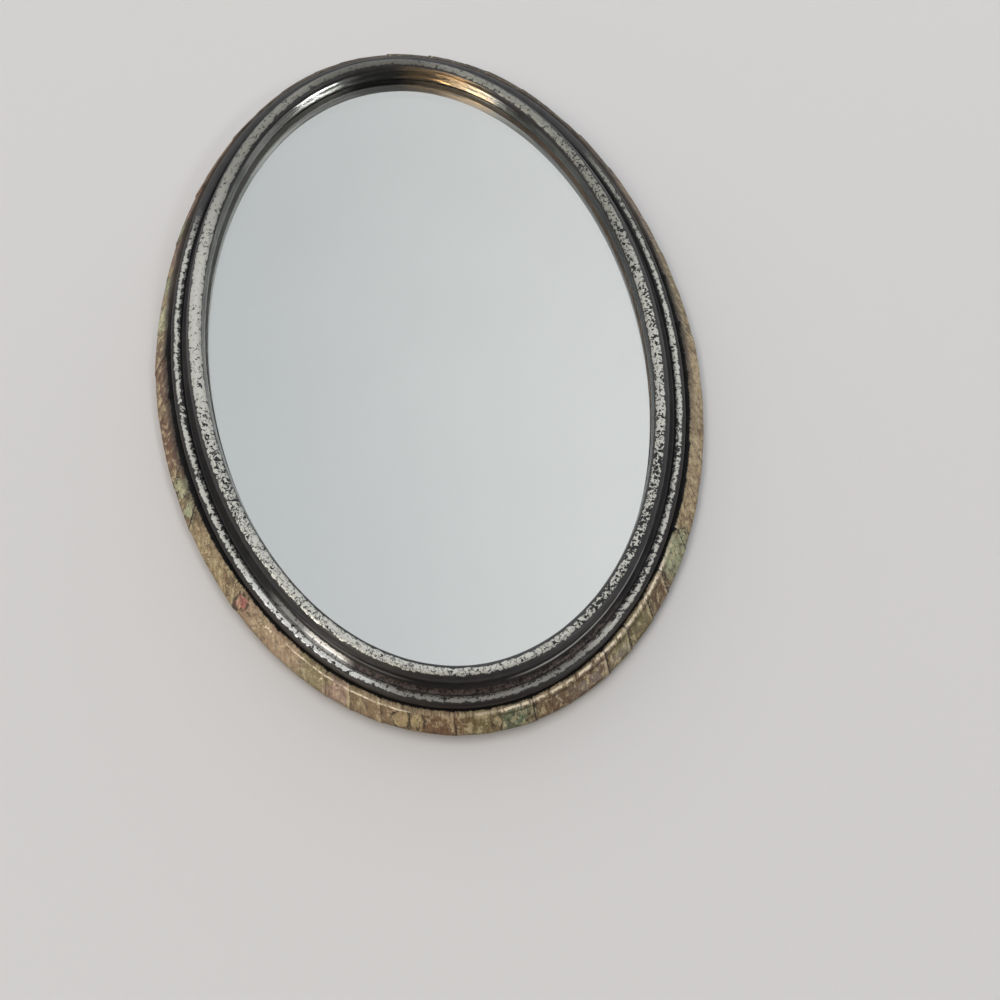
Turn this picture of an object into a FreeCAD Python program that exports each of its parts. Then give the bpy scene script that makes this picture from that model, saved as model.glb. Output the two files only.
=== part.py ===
"""Small oval mirror: a silvered glass under an antiqued metal moulding, on a bevelled board
that is covered with decorated, varnished paper.

The mirror lies on its back: +Z is up out of the glass, +Y runs along the oval's length, and the
origin is the middle of the flat back. Lengths are in millimetres.
"""
import FreeCAD, Part
import math
import os

import Sketcher
from FreeCAD import Vector

doc = FreeCAD.newDocument("oval_mirror")

# Driving dimensions: one cell and one alias each.
SIZES = [
    ("glass_length", 110.0),      # oval glass, edge to edge along Y
    ("glass_width", 70.0),        # oval glass, edge to edge along X
    ("glass_thick", 1.5),
    ("glass_arris", 0.2),         # ground-off front corner of the glass
    ("silver_thick", 0.05),       # reflecting film on the back of the glass
    ("paint_thick", 0.05),        # protective paint over the film
    ("card_thick", 0.1),          # packing card between the paint and the tape
    ("card_inset", 1.0),          # card edge inside the glass edge
    ("tape_thick", 0.1),
    ("tape_width", 12.0),         # strip size along Y
    ("tape_length", 46.0),        # strip size along X
    ("tape_pitch", 28.0),         # strip to strip along Y
    ("board_thick", 1.8),
    ("board_edge", 0.5),          # square edge left below the bevel
    ("board_margin", 0.75),       # flat front face left outside the moulding
    ("bevel_run", 2.05),          # width of the bevel round the front of the board
    ("cover_thick", 0.3),         # paper with its paste and varnish
    ("cover_round", 0.25),        # rounding of the folded paper
    ("turn_in", 2.8),             # paper folded in under the moulding's foot
    ("glue_thick", 0.1),
    ("glue_inset", 0.2),          # glue kept back from the foot's outer edge and the paper's edge
    ("lip_cover", 1.4),           # glass edge hidden under the lip
    ("lip_edge", 0.35),           # upright inner edge of the lip
    ("rabbet_clear", 0.3),        # room round the glass in the moulding
    ("wall_lean", 0.5),           # inner wall leans back this far from the lip to the bead
    ("wall_rise", 0.91),          # height of that wall
    ("bead_radius", 1.25),        # large bead next to the glass
    ("cove_width", 1.35),         # hollow between the two beads
    ("outer_bead_radius", 0.8),
    ("outer_bead_rise", 0.53),    # centre of the outer bead above the foot
    ("undercut", 0.95),           # foot set back under the outer bead
]

sheet = doc.addObject("Spreadsheet::Sheet", "sizes")
for row, (alias, value) in enumerate(SIZES, start=1):
    sheet.set(f"A{row}", alias)
    sheet.set(f"B{row}", str(value))
    sheet.setAlias(f"B{row}", alias)
doc.recompute()

# Heights above the table, as expressions on the sheet.
BOARD_BACK = "sizes.cover_thick"
BOARD_FRONT = f"({BOARD_BACK} + sizes.board_thick)"
BEVEL_FOOT = f"({BOARD_BACK} + sizes.board_edge)"
COVER_FRONT = f"({BOARD_FRONT} + sizes.cover_thick)"
FOOT = f"({COVER_FRONT} + sizes.glue_thick)"
CARD_BACK = f"({BOARD_FRONT} + sizes.tape_thick)"
PAINT_BACK = f"({CARD_BACK} + sizes.card_thick)"
SILVER_BACK = f"({PAINT_BACK} + sizes.paint_thick)"
GLASS_BACK = f"({SILVER_BACK} + sizes.silver_thick)"
GLASS_FRONT = f"({GLASS_BACK} + sizes.glass_thick)"
LIP_TOP = f"({GLASS_FRONT} + sizes.lip_edge)"
BEAD_MIDDLE = f"({LIP_TOP} + sizes.wall_rise)"
OUTER_BEAD_MIDDLE = f"({FOOT} + sizes.outer_bead_rise)"

# Ovals, as distances outside the edge of the glass.
SIGHT = "(-sizes.lip_cover)"
RABBET = "sizes.rabbet_clear"
BEAD_IN = f"({SIGHT} + sizes.wall_lean)"
OUTER_BEAD_IN = f"({BEAD_IN} + 2 * sizes.bead_radius + sizes.cove_width)"
MOULDING_OUT = f"({OUTER_BEAD_IN} + 2 * sizes.outer_bead_radius)"
FOOT_OUT = f"({MOULDING_OUT} - sizes.undercut)"
TURN_IN_EDGE = f"({FOOT_OUT} - sizes.turn_in)"
BOARD_TOP = f"({MOULDING_OUT} + sizes.board_margin)"
BOARD_SIDE = f"({BOARD_TOP} + sizes.bevel_run)"
# The paper lies at its own thickness outside the board, so its folds move out at each corner.
BEVEL_RISE = "(sizes.board_thick - sizes.board_edge)"
BEVEL_TILT = f"atan({BEVEL_RISE} / sizes.bevel_run)"
COVER_TOP = f"({BOARD_TOP} + sizes.cover_thick * tan({BEVEL_TILT} / 2))"
COVER_SIDE = f"({BOARD_SIDE} + sizes.cover_thick)"
COVER_FOLD = f"({BEVEL_FOOT} + sizes.cover_thick * tan(45 deg - {BEVEL_TILT} / 2))"


def value(expression):
    return float(sheet.evalExpression(expression))


def new_body(label):
    body = doc.addObject("PartDesign::Body", label)
    body.Label = label
    return body


def new_sketch(body, name, plane, height=None):
    """An empty sketch on one of the body's own origin planes, lifted to a height."""
    sketch = body.newObject("Sketcher::SketchObject", name)
    origin_plane = next(p for p in body.Origin.OriginFeatures if p.Role == plane)
    sketch.AttachmentSupport = [(origin_plane, "")]
    sketch.MapMode = "FlatFace"
    if height:
        sketch.setExpression("AttachmentOffset.Base.z", height)
    return sketch


def bind(sketch, constraint, name, expression):
    index = sketch.addConstraint(constraint)
    sketch.renameConstraint(index, name)
    sketch.setExpression(f"Constraints.{name}", expression)


def add_oval(sketch, outside, name=""):
    """An oval round the origin at a distance outside the edge of the glass."""
    along = f"sizes.glass_length + 2 * ({outside})"
    across = f"sizes.glass_width + 2 * ({outside})"
    tip, flank = Vector(0, value(along) / 2, 0), Vector(value(across) / 2, 0, 0)
    oval = sketch.addGeometry(Part.Ellipse(tip, flank, Vector(0, 0, 0)), False)
    sketch.exposeInternalGeometry(oval)
    long_axis, short_axis = oval + 1, oval + 2
    sketch.addConstraint(Sketcher.Constraint("Coincident", oval, 3, -1, 1))
    sketch.addConstraint(Sketcher.Constraint("Vertical", long_axis))
    bind(sketch, Sketcher.Constraint("Distance", long_axis, value(along)), f"{name}along", along)
    bind(sketch, Sketcher.Constraint("Distance", short_axis, value(across)), f"{name}across", across)


def pad(body, sketch, thickness):
    feature = body.newObject("PartDesign::Pad", f"{body.Name}_pad")
    feature.Profile = sketch
    feature.setExpression("Length", thickness)
    return feature


def oval_plate(label, outside, height, thickness):
    """A flat oval plate with a square edge."""
    body = new_body(label)
    outline = new_sketch(body, f"{label}_outline", "XY_Plane", height)
    add_oval(outline, outside)
    pad(body, outline, thickness)
    return body


def bevelled_plate(label, side, top, height, edge, front):
    """An oval plate with a square edge from height up to edge, then a bevel in to the front."""
    body = oval_plate(label, side, height, f"{edge} - ({height})")
    foot = new_sketch(body, f"{label}_bevel_foot", "XY_Plane", edge)
    add_oval(foot, side)
    crest = new_sketch(body, f"{label}_bevel_crest", "XY_Plane", front)
    add_oval(crest, top)
    bevel = body.newObject("PartDesign::AdditiveLoft", f"{label}_bevel")
    bevel.Profile = foot
    bevel.Sections = [crest]
    bevel.Ruled = True
    return body


def rim_edges(shape):
    """Names of the closed edges that lie level, from the lowest up."""
    rims = []
    for index, edge in enumerate(shape.Edges, start=1):
        if edge.BoundBox.ZLength < 1e-6:
            rims.append((edge.BoundBox.ZMin, f"Edge{index}"))
    return [name for _, name in sorted(rims)]


def make_board():
    """Stiff board with a flat back and a bevel round its front."""
    return bevelled_plate("backing_board", BOARD_SIDE, BOARD_TOP, BOARD_BACK, BEVEL_FOOT, BOARD_FRONT)


def make_cover(board):
    """Paper over the back and the bevel of the board, folded in under the moulding."""
    outside = bevelled_plate("cover_outside", COVER_SIDE, COVER_TOP, "0", COVER_FOLD, COVER_FRONT)
    doc.recompute()
    sharp = outside.Tip
    folds = outside.newObject("PartDesign::Fillet", "cover_folds")
    folds.Base = (sharp, rim_edges(sharp.Shape))
    folds.setExpression("Radius", "sizes.cover_round")
    window = oval_plate("cover_window", TURN_IN_EDGE, BOARD_FRONT, "2 * sizes.cover_thick")
    folded = doc.addObject("Part::Cut", "cover_folded")
    folded.Base = outside
    folded.Tool = board
    cover = doc.addObject("Part::Cut", "cover_sheet")
    cover.Base = folded
    cover.Tool = window
    cover.Label = "cover_sheet"
    return cover


def make_glue():
    """Line of glue between the folded paper and the moulding's foot."""
    body = new_body("moulding_glue")
    line = new_sketch(body, "glue_line", "XY_Plane", COVER_FRONT)
    add_oval(line, f"{FOOT_OUT} - sizes.glue_inset", "outer_")
    add_oval(line, f"{TURN_IN_EDGE} + sizes.glue_inset", "inner_")
    pad(body, line, "sizes.glue_thick")
    return body


def make_tape():
    """Three strips of double-sided tape that hold the mirror to the board."""
    strips = []
    for place in (-1, 0, 1):
        strip = doc.addObject("Part::Box", f"tape_strip_{place + 2}")
        strip.setExpression("Length", "sizes.tape_length")
        strip.setExpression("Width", "sizes.tape_width")
        strip.setExpression("Height", "sizes.tape_thick")
        strip.setExpression("Placement.Base.x", "-sizes.tape_length / 2")
        strip.setExpression("Placement.Base.y", f"{place} * sizes.tape_pitch - sizes.tape_width / 2")
        strip.setExpression("Placement.Base.z", BOARD_FRONT)
        strips.append(strip)
    tape = doc.addObject("Part::Compound", "tape_strips")
    tape.Links = strips
    tape.Label = "tape_strips"
    return tape


def make_glass():
    """Oval float glass with its front corner ground off."""
    body = oval_plate("mirror_glass", "0", GLASS_BACK, "sizes.glass_thick")
    doc.recompute()
    square = body.Tip
    arris = body.newObject("PartDesign::Chamfer", "glass_front_arris")
    arris.Base = (square, rim_edges(square.Shape)[-1:])
    arris.setExpression("Size", "sizes.glass_arris")
    return body


def make_moulding():
    """Cast ring: a lip over the glass, a large bead, a cove and a smaller outer bead."""
    body = new_body("frame_moulding")
    path = new_sketch(body, "moulding_path", "XY_Plane")
    add_oval(path, SIGHT)
    section = new_sketch(body, "moulding_section", "YZ_Plane")

    def point(outside, height):
        return Vector(value(f"sizes.glass_length / 2 + {outside}"), value(height), 0)

    def join(one, end_of_one, other, end_of_other):
        section.addConstraint(Sketcher.Constraint("Coincident", one, end_of_one, other, end_of_other))

    def level(one, end_of_one, other, end_of_other):
        section.addConstraint(Sketcher.Constraint("Horizontal", one, end_of_one, other, end_of_other))

    def place(name, element, end, outside, height):
        at = section.getPoint(element, end)
        across = Sketcher.Constraint("DistanceX", -1, 1, element, end, at.x)
        up = Sketcher.Constraint("DistanceY", -1, 1, element, end, at.y)
        bind(section, across, f"{name}_out", f"sizes.glass_length / 2 + {outside}")
        bind(section, up, f"{name}_up", height)

    # Straight run from the large bead down the inner wall, round the lip, the rabbet and the
    # foot, and up to the outer bead.
    corners = [
        ("bead_foot", BEAD_IN, BEAD_MIDDLE),
        ("lip_top", SIGHT, LIP_TOP),
        ("lip_foot", SIGHT, GLASS_FRONT),
        ("rabbet_top", RABBET, GLASS_FRONT),
        ("rabbet_foot", RABBET, FOOT),
        ("foot_edge", FOOT_OUT, FOOT),
        ("outer_bead_foot", MOULDING_OUT, OUTER_BEAD_MIDDLE),
    ]
    lines = []
    for (_, *start), (_, *end) in zip(corners, corners[1:]):
        lines.append(section.addGeometry(Part.LineSegment(point(*start), point(*end)), False))

    # Back over the top: half-round outer bead, hollow cove, half-round large bead.
    bead_r, outer_r = value("sizes.bead_radius"), value("sizes.outer_bead_radius")
    bead_at = (f"{BEAD_IN} + sizes.bead_radius", BEAD_MIDDLE)
    outer_at = (f"{OUTER_BEAD_IN} + sizes.outer_bead_radius", OUTER_BEAD_MIDDLE)
    width = value("sizes.cove_width")
    drop = value(f"{BEAD_MIDDLE} - {OUTER_BEAD_MIDDLE}")
    cove_r = (width ** 2 + drop ** 2) / (2 * width)
    cove_middle = point(*bead_at) + Vector(bead_r + cove_r, 0, 0)
    cove_end = math.pi + math.atan2(drop, cove_r - width)
    axis = Vector(0, 0, 1)

    def arc(middle, radius, start, end):
        return section.addGeometry(Part.ArcOfCircle(Part.Circle(middle, axis, radius), start, end), False)

    outer = arc(point(*outer_at), outer_r, 0, math.pi)
    cove = arc(cove_middle, cove_r, math.pi, cove_end)
    bead = arc(point(*bead_at), bead_r, 0, math.pi)

    for line, following in zip(lines, lines[1:]):
        join(line, 2, following, 1)
    join(lines[-1], 2, outer, 1)
    join(outer, 2, cove, 2)
    join(cove, 1, bead, 1)
    join(bead, 2, lines[0], 1)
    for half_round in (outer, bead):
        level(half_round, 1, half_round, 3)
        level(half_round, 2, half_round, 3)
    level(cove, 3, bead, 3)
    for line, (name, outside, height) in zip(lines, corners[1:-1]):
        place(name, line, 2, outside, height)
    place("bead", bead, 3, *bead_at)
    place("outer_bead", outer, 3, *outer_at)
    bind(section, Sketcher.Constraint("Radius", bead, bead_r), "bead_round", "sizes.bead_radius")
    outer_round = Sketcher.Constraint("Radius", outer, outer_r)
    bind(section, outer_round, "outer_bead_round", "sizes.outer_bead_radius")

    moulding = body.newObject("PartDesign::AdditivePipe", "moulding_sweep")
    moulding.Profile = section
    moulding.Spine = path
    return body


board = make_board()
SUB_PARTS = [
    board,
    make_cover(board),
    make_glue(),
    make_tape(),
    oval_plate("packing_card", "-sizes.card_inset", CARD_BACK, "sizes.card_thick"),
    oval_plate("back_paint", "0", PAINT_BACK, "sizes.paint_thick"),
    oval_plate("silver_film", "0", SILVER_BACK, "sizes.silver_thick"),
    make_glass(),
    make_moulding(),
]
doc.recompute()

for thing in doc.Objects:
    faults = {"Invalid", "Error"} & set(thing.State)
    assert not faults, f"{thing.Label} did not rebuild: {faults}"
for sub_part in SUB_PARTS:
    shape = sub_part.Shape
    assert not shape.isNull() and shape.isValid(), f"{sub_part.Label} has no valid shape"

os.makedirs("parts", exist_ok=True)
for sub_part in SUB_PARTS:
    shape = sub_part.Shape
    shape.exportStep(f"parts/{sub_part.Label}.step")
    box = shape.optimalBoundingBox(False)
    print(f"{sub_part.Label}: {len(shape.Solids)} solid(s), {shape.Volume:.1f} mm3, "
          f"{box.XLength:.2f} x {box.YLength:.2f} x {box.ZLength:.2f}, z from {box.ZMin:.2f}")
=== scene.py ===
import math
import bpy
import numpy as np
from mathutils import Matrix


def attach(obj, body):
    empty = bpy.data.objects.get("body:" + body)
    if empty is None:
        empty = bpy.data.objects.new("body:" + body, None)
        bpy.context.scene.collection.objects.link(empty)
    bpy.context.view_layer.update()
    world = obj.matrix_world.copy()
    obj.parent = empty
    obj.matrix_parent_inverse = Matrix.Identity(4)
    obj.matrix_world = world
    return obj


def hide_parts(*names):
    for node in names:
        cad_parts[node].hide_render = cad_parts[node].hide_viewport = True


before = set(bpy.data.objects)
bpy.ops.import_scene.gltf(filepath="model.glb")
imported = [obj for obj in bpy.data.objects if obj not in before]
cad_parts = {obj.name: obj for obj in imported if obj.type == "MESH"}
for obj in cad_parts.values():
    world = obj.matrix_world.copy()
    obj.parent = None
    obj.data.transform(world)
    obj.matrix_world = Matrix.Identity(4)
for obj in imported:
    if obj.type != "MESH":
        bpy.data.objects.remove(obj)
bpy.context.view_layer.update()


# Backing board: an oval of thin fibreboard with its front edge bevelled, the core that the mirror is
# built on. It is sawn from sheet by hand: the faces are pressed smooth, the cut edge is furry, and
# the two far shoulders came out a little lean.
def colour(red, green, blue):
    """A colour as seen on a screen, 0 to 255, as the linear colour that a shader takes."""
    return (*[(((part / 255) + 0.055) / 1.055) ** 2.4 for part in (red, green, blue)], 1.0)


class Socket:
    """One output of a node. Arithmetic on it adds Math nodes to the same tree."""

    def __init__(self, finish, output):
        self.finish = finish
        self.output = output

    def math(self, operation, first, second=0.0):
        return self.finish.add("Math", {"operation": operation}, {0: first, 1: second})

    def __add__(self, other):
        return self.math("ADD", self, other)

    def __sub__(self, other):
        return self.math("SUBTRACT", self, other)

    def __rsub__(self, other):
        return self.math("SUBTRACT", other, self)

    def __mul__(self, other):
        return self.math("MULTIPLY", self, other)

    def __abs__(self):
        return self.math("ABSOLUTE", self)

    def most(self, other):
        return self.math("MAXIMUM", self, other)

    def rise(self, low, high):
        """0 at low and 1 at high, smooth between; low may be the larger of the two."""
        ends = {"Value": self, "From Min": low, "From Max": high}
        return self.finish.add("MapRange", {"interpolation_type": "SMOOTHSTEP"}, ends)

    __radd__ = __add__


class Finish:
    """The node tree of a material, or of the sky over the table."""

    def __init__(self, owner):
        owner.use_nodes = True
        self.owner = owner
        self.tree = owner.node_tree
        self.tree.nodes.clear()

    def add(self, kind, settings, sockets, result=0):
        """Adds one node, sets it, fills or links its sockets, and gives back one of its outputs."""
        node = self.tree.nodes.new("ShaderNode" + kind)
        for name, value in settings.items():
            setattr(node, name, value)
        for name, value in sockets.items():
            if isinstance(value, Socket):
                self.tree.links.new(value.output, node.inputs[name])
            else:
                node.inputs[name].default_value = value
        return Socket(self, node.outputs[result]) if node.outputs else None

    def mix(self, share, under, over):
        """The colour under, covered by the colour over by that share."""
        return self.add("Mix", {"data_type": "RGBA"}, {0: share, 6: under, 7: over}, 2)

    def place(self):
        """Where a point of the piece is, in millimetres."""
        metres = self.add("TexCoord", {}, {}, "Object")
        return self.add("VectorMath", {"operation": "SCALE"}, {0: metres, "Scale": 1000.0})

    def noise(self, where, per_mm, detail=2.0, rough=0.5, result="Fac", warp=0.0):
        """A cloudy pattern of about 0 to 1, with so many clouds to the millimetre."""
        sockets = {
            "Vector": where,
            "Scale": per_mm,
            "Detail": detail,
            "Roughness": rough,
            "Distortion": warp,
        }
        return self.add("TexNoise", {}, sockets, result)

    def stretch(self, where, x, y, z):
        """The place with each of its three measures multiplied."""
        return self.add("VectorMath", {"operation": "MULTIPLY"}, {0: where, 1: (x, y, z)})

    def bump(self, height, millimetres):
        """Bent shading, for a height of 1 that stands that much above a height of 0."""
        return self.add("Bump", {}, {"Height": height, "Distance": millimetres / 1000})

    def surface(self, **sockets):
        """A Principled surface, with underscores for the spaces in its sockets' names."""
        named = {name.replace("_", " "): value for name, value in sockets.items()}
        return self.add("BsdfPrincipled", {}, named)

    def output(self, shader):
        kind = "OutputWorld" if isinstance(self.owner, bpy.types.World) else "OutputMaterial"
        self.add(kind, {}, {"Surface": shader})
        return self.owner


SIGHT_HALF_WIDTH = 33.6
SIGHT_HALF_LENGTH = 53.6


def draw_rings(name, section, around):
    """A band of ovals drawn out one after the other, at (outset, height) in mm from the sight oval."""
    bpy.ops.object.select_all(action="DESELECT")
    bpy.ops.mesh.primitive_circle_add(vertices=around, radius=1.0, location=(0, 0, 0))
    piece = bpy.context.object
    piece.name = name
    piece.data.name = name
    bpy.ops.object.mode_set(mode="EDIT")
    bpy.ops.mesh.select_all(action="SELECT")
    width, length, level = 1.0, 1.0, 0.0
    for number, (outset, height) in enumerate(section):
        if number:
            bpy.ops.mesh.extrude_edges_move()
        new_width = (SIGHT_HALF_WIDTH + outset) / 1000
        new_length = (SIGHT_HALF_LENGTH + outset) / 1000
        scale = (new_width / width, new_length / length, 1.0)
        bpy.ops.transform.resize(value=scale, center_override=(0, 0, 0))
        bpy.ops.transform.translate(value=(0, 0, height / 1000 - level))
        width, length, level = new_width, new_length, height / 1000
    return piece


def measure_rings(piece, section, around, zero):
    """Each vertex's angle round the oval, 0 far and 90 right, and its way across the section in mm."""
    steps = np.hypot(*np.diff(np.array(section), axis=0).T)
    across = np.concatenate([[0.0], np.cumsum(steps)])
    across = np.repeat(across - across[zero], around)
    places = np.zeros(len(piece.data.vertices) * 3)
    piece.data.vertices.foreach_get("co", places)
    places = places.reshape(-1, 3)[:len(across)]
    outset = np.repeat(np.array(section)[:, 0], around)
    x = places[:, 0] / (SIGHT_HALF_WIDTH + outset)
    y = places[:, 1] / (SIGHT_HALF_LENGTH + outset)
    return np.degrees(np.arctan2(x, y)) % 360, across


def apply_all(piece):
    bpy.context.view_layer.objects.active = piece
    for modifier in list(piece.modifiers):
        bpy.ops.object.modifier_apply(modifier=modifier.name)


def choose(piece, wanted):
    """Goes into edit mode with only those vertices selected whose places, in mm, pass the test."""
    bpy.ops.object.mode_set(mode="EDIT")
    bpy.ops.mesh.select_mode(type="VERT")
    bpy.ops.mesh.select_all(action="DESELECT")
    bpy.ops.object.mode_set(mode="OBJECT")
    places = np.empty(len(piece.data.vertices) * 3)
    piece.data.vertices.foreach_get("co", places)
    piece.data.vertices.foreach_set("select", wanted(places.reshape(-1, 3) * 1000))
    bpy.ops.object.mode_set(mode="EDIT")


def face_outward():
    """Turns all faces of the piece in edit mode outward, and leaves edit mode."""
    bpy.ops.mesh.select_all(action="SELECT")
    bpy.ops.mesh.normals_make_consistent(inside=False)
    bpy.ops.object.mode_set(mode="OBJECT")


def close_ends(piece, section):
    """Closes a band with a flat face at its last ring, still selected, and at its first and lowest."""
    bpy.ops.mesh.edge_face_add()
    over_first = (section[0][1] + section[1][1]) / 2
    choose(piece, lambda place: place[:, 2] < over_first)
    bpy.ops.mesh.edge_face_add()
    face_outward()


LEAST_WEIGHT = 0.001


def weigh(piece, name, weights):
    """Marks how far each vertex follows a modifier, from 0 to 1."""
    group = piece.vertex_groups.new(name=name)
    for index in np.flatnonzero(weights > LEAST_WEIGHT):
        group.add([int(index)], float(weights[index]), "REPLACE")
    return group.name


def push(piece, name, group, direction, millimetres):
    """Moves the marked vertices by up to that much, along an axis or along their normals."""
    pushing = piece.modifiers.new(name, "DISPLACE")
    pushing.direction = direction
    pushing.vertex_group = group
    pushing.mid_level = 0.0
    pushing.strength = millimetres / 1000


# Angle of the middle, reach in degrees, and the way in along x and y in mm.
LEAN_SHOULDERS = (
    ("left", 307, 30, 0.70, -0.47),
    ("right", 64, 27, -0.62, -0.20),
)


def tuck(piece, angles, share):
    """Draws the rim in at its two far shoulders, where the oval was cut a little lean."""
    for name, middle, reach, way_x, way_y in LEAN_SHOULDERS:
        pull = share * np.exp(-((angles - middle) / reach) ** 4)
        shoulder = weigh(piece, name + "_shoulder", pull)
        push(piece, name + "X", shoulder, "X", way_x)
        push(piece, name + "Y", shoulder, "Y", way_y)


BOARD_AROUND = 360
BOARD_SECTION_LENGTH = 3.02
BEVEL_LENGTH = 2.42
board_section = [(8.42, 0.2), (8.64, 0.42), (8.7, 0.7), (8.02, 1.13), (7.33, 1.57), (6.65, 2.0)]
core = draw_rings("board_core", board_section, BOARD_AROUND)
close_ends(core, board_section)
core_angle, core_across = measure_rings(core, board_section, BOARD_AROUND, 0)
tuck(core, core_angle, np.clip((BOARD_SECTION_LENGTH - core_across) / BEVEL_LENGTH, 0, 1))
apply_all(core)

board = Finish(bpy.data.materials.new("fibreboard"))
board_place = board.place()
fibre = board.noise(board.stretch(board_place, 3.0, 9.0, 6.0), 1.0, 4.0, 0.65)
fleck = board.noise(board_place, 4.0, 2.0)
board_colour = board.mix(fibre.rise(0.35, 0.68), colour(138, 112, 84), colour(176, 150, 116))
board_colour = board.mix(fleck.rise(0.64, 0.72) * 0.6, board_colour, colour(92, 70, 50))
core.data.materials.append(board.output(board.surface(
    Base_Color=board_colour,
    Roughness=fibre * 0.2 + 0.72,
    Normal=board.bump(fibre + fleck * 0.5, 0.05),
)))
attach(core, "root")
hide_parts("backing_board")


# Cover sheet: decorated paper glued over the board's bevel and back, folded under the moulding and
# varnished. To go round the oval it is laid in short overlapping pleats, so its rim is all small
# steps and creases, and its crest is rubbed pale beside the moulding. Painted highlights and glints
# lie on the crest and the pleats' edges, and painted shade lies in the gap under the moulding, in
# the seams and round the far end.
def note(piece, name, measure):
    """Keeps a measure of the rings' vertices on the mesh, for the finish to read."""
    kept = piece.data.attributes.new(name, "FLOAT", "POINT")
    values = np.full(len(piece.data.vertices), measure[-1])
    values[:len(measure)] = measure
    kept.data.foreach_set("value", values)


COVER_AROUND = 1200
CREST = (6.72, 2.33)
FOLD = (8.91, 0.93)
SLOPE_STEPS = 13
SLOPE_INSET = 0.03
cover_section = [(2.2, 2.34), (3.6, 2.34), (5.0, 2.34), (5.7, 2.34), (6.1, 2.34), (6.36, 2.34)]
cover_section += [(6.52, 2.345), (6.64, 2.345)]
for step in range(SLOPE_STEPS + 1):
    along = SLOPE_INSET + (1 - 2 * SLOPE_INSET) * step / SLOPE_STEPS
    cover_section.append((
        CREST[0] + along * (FOLD[0] - CREST[0]),
        CREST[1] + along * (FOLD[1] - CREST[1]),
    ))
cover_section += [(8.92, 0.85), (8.93, 0.72), (8.92, 0.56), (8.88, 0.39), (8.8, 0.23), (8.67, 0.1)]
cover_section += [(8.49, 0.02), (8.3, 0.0), (7.2, 0.0), (4.0, 0.0)]
CREST_RING = 8

cover = draw_rings("cover_sheet_paper", cover_section, COVER_AROUND)
for shrink in (0.75, 0.65, 0.5):
    bpy.ops.mesh.extrude_edges_move()
    bpy.ops.transform.resize(value=(shrink, shrink, 1), center_override=(0, 0, 0))
bpy.ops.mesh.extrude_edges_move()
bpy.ops.mesh.merge(type="CENTER")
face_outward()
cover_angle, cover_across = measure_rings(cover, cover_section, COVER_AROUND, CREST_RING)
note(cover, "across", cover_across)

pleat_draw = np.random.default_rng(11)
laid_by_hand = [
    102, 108, 114, 120.5, 129, 137, 142.5, 149, 155, 164, 171.5, 180, 187, 194, 201, 207, 212, 217.5,
    223, 229, 233.5,
]
PLEAT_SPACING = 8.0
PLEAT_STRAY = 2.5
laid_evenly = np.concatenate([np.arange(5, 99, PLEAT_SPACING), np.arange(241, 358, PLEAT_SPACING)])
laid_evenly += pleat_draw.uniform(-PLEAT_STRAY, PLEAT_STRAY, len(laid_evenly))
pleats = np.sort(np.concatenate([laid_by_hand, laid_evenly]))
pleat_lift = pleat_draw.uniform(0.3, 1.0, len(pleats))
standing_up = [129, 137, 142.5, 149, 155, 171.5, 201, 212, 233.5]
pleat_lift[np.isin(pleats, standing_up)] = 1.0
pleats = np.concatenate([[pleats[-1] - 360], pleats, [pleats[0] + 360]])
pleat_lift = np.concatenate([[pleat_lift[-1]], pleat_lift, [pleat_lift[0]]])
PLEAT_LEAN = 0.85
RIM_WIDTH = 3.0
down_rim = np.clip(cover_across, 0, RIM_WIDTH)
leaning = cover_angle - PLEAT_LEAN * np.sin(np.radians(cover_angle)) * down_rim
pleat = np.clip(np.searchsorted(pleats, leaning) - 1, 0, len(pleats) - 2)
beyond_edge = leaning - pleats[pleat]
along_pleat = beyond_edge / (pleats[pleat + 1] - pleats[pleat])
MM_PER_DEGREE = 0.9
note(cover, "past_edge", beyond_edge * MM_PER_DEGREE)
note(cover, "edge_lift", pleat_lift[pleat])
PLEAT_HEIGHT = 0.19
lift = PLEAT_HEIGHT * pleat_lift[pleat] * np.clip(1 - along_pleat, 0, 1) ** 1.6

CREASES = 220
for _ in range(CREASES):
    middle = pleat_draw.uniform(0, 360)
    half = pleat_draw.uniform(0.3, 1.0)
    height = pleat_draw.uniform(-0.05, 0.08)
    start = pleat_draw.uniform(-0.4, 1.6)
    reach = pleat_draw.uniform(0.5, 1.8)
    slant = pleat_draw.uniform(-1.2, 1.2)
    off = (cover_angle - middle + slant * (cover_across - start) + 180) % 360 - 180
    lift += height * np.exp(-(off / half) ** 2 - ((cover_across - start) / reach) ** 2)

CREST_RIPPLE = 0.034
CREST_SWELL = 0.08
CREST_HALF_WIDTH = 0.5
crest_wave = np.zeros_like(cover_angle)
for turns in (7, 13, 29, 47, 83, 121):
    phase = pleat_draw.uniform(0, 2 * math.pi)
    crest_wave += CREST_RIPPLE * np.sin(np.radians(cover_angle * turns) + phase)
lift += (crest_wave + CREST_SWELL) * np.exp(-(cover_across / CREST_HALF_WIDTH) ** 2)

HELD_BY_MOULDING = -1.1
SIDE_STARTS = 2.45
WRINKLES_END = 3.3
DRAWN_IN_TO = 4.7
MOST_LIFT = 0.4
LEAST_LIFT = 0.05
PAPER_THICK = 0.2
on_rim = np.clip((cover_across - HELD_BY_MOULDING) / 0.6, 0, 1)
on_rim *= 1 - 0.75 * np.clip((cover_across - SIDE_STARTS) / 0.5, 0, 1)
on_rim *= np.clip((WRINKLES_END - cover_across) / 0.5, 0, 1)
rim_weight = np.clip((lift + LEAST_LIFT) * on_rim / MOST_LIFT, 0, 1)
lean_weight = np.clip(cover_across / SIDE_STARTS, 0, 1)
lean_weight *= np.clip((DRAWN_IN_TO - cover_across) / 1.1, 0, 1)
tuck(cover, cover_angle, lean_weight)
push(cover, "pleating", weigh(cover, "wrinkled", rim_weight), "NORMAL", MOST_LIFT)
paper_wall = cover.modifiers.new("paper_wall", "SOLIDIFY")
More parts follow.
